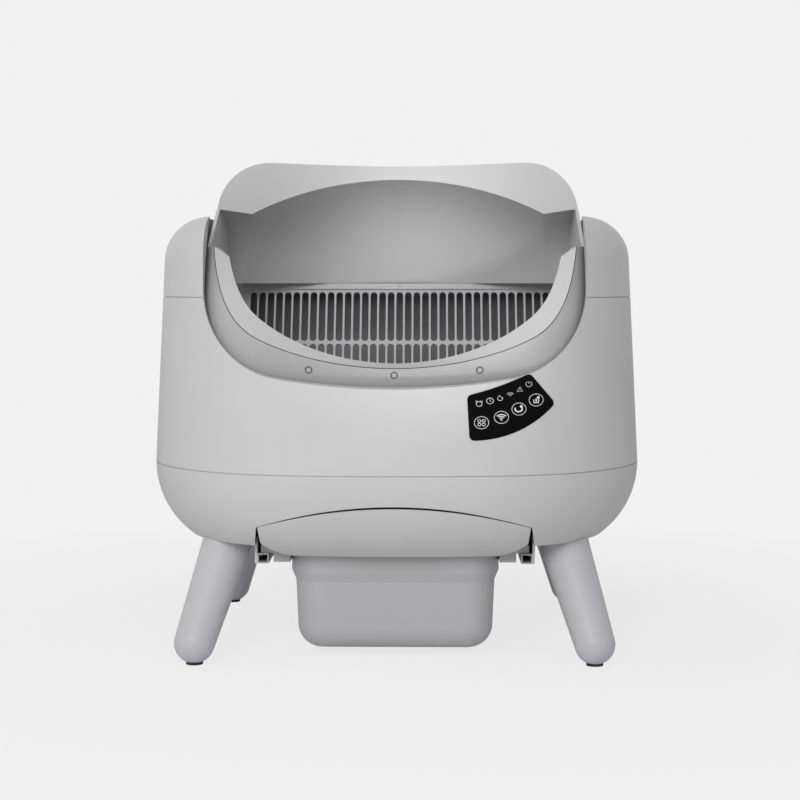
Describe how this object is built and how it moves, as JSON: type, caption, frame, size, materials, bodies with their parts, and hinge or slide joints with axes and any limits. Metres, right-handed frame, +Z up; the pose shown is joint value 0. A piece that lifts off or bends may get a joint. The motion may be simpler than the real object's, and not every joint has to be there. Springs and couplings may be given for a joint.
{
  "type": "self-cleaning litter box",
  "caption": "Open-top self-cleaning litter box: a geared drum with a sieve grate turns in a rounded housing on splayed legs and tips waste into a sliding drawer bin.",
  "frame": {"origin": "on the floor under the middle of the body", "axes": "+X to the right seen from the front, +Y to the back, +Z up"},
  "size_m": [0.606, 0.54, 0.6024],
  "materials": {
    "shell": "satin",
    "drum": "satin",
    "sieve": "satin",
    "leg": "satin",
    "bin": "satin",
    "liner": "satin",
    "rubber": "matt",
    "lens": "gloss",
    "rail": "satin",
    "steel": "plain",
    "bearing": "smooth",
    "drive": "smooth",
    "motor": "satin",
    "board": "smooth",
    "black": "satin",
    "magnet": "plated"
  },
  "bodies": {
    "housing": {"base_pan": "shell", "body_shell": "shell", "left_side_cap": "shell", "right_side_cap": "shell", "front_left_leg": "leg", "front_right_leg": "leg", "rear_left_leg": "leg", "rear_right_leg": "leg", "drum_well": "liner", "foot_pads": "rubber", "control_lens": "lens", "left_drawer_rail": "rail", "right_drawer_rail": "rail", "leg_bolts": "steel", "rail_screws": "steel", "motor_screws": "steel", "cap_screws": "steel", "body_screws": "steel", "left_bush": "bearing", "right_bush": "bearing", "gear_motor": "motor", "panel_board": "board", "main_board": "board", "power_inlet": "black", "turn_sensor": "black"},
    "drum": {"drum_bowl": "drum", "drum_hood": "drum", "front_collar": "drum", "collar_screws": "drum", "sieve_grate": "sieve", "sieve_screw": "steel", "left_trunnion": "drive", "right_trunnion": "drive", "trunnion_screws": "steel", "ring_gear": "drive", "gear_retainer": "steel", "turn_magnet": "magnet"},
    "pinion": {"drive_pinion": "drive"},
    "drawer": {"waste_bin": "bin", "bin_flanges": "bin", "bin_guides": "bin", "drawer_front": "shell", "drawer_screws": "steel"}
  },
  "joints": [
    {"name": "drum_turn", "type": "hinge", "parent": "housing", "child": "drum", "pos_m": [0, 0, 0.388], "axis": [-1, 0, 0], "range_deg": [-30, 200]},
    {"name": "pinion_turn", "type": "hinge", "parent": "housing", "child": "pinion", "pos_m": [0.27, 0, 0.288], "axis": [-1, 0, 0], "range_deg": [-810, 130]},
    {"name": "drawer_slide", "type": "slide", "parent": "housing", "child": "drawer", "axis": [0, -1, 0], "range_m": [0, 0.31]}
  ],
  "couplings": [
    {"joint": "pinion_turn", "follows": "drum_turn", "ratio": -4}
  ]
}
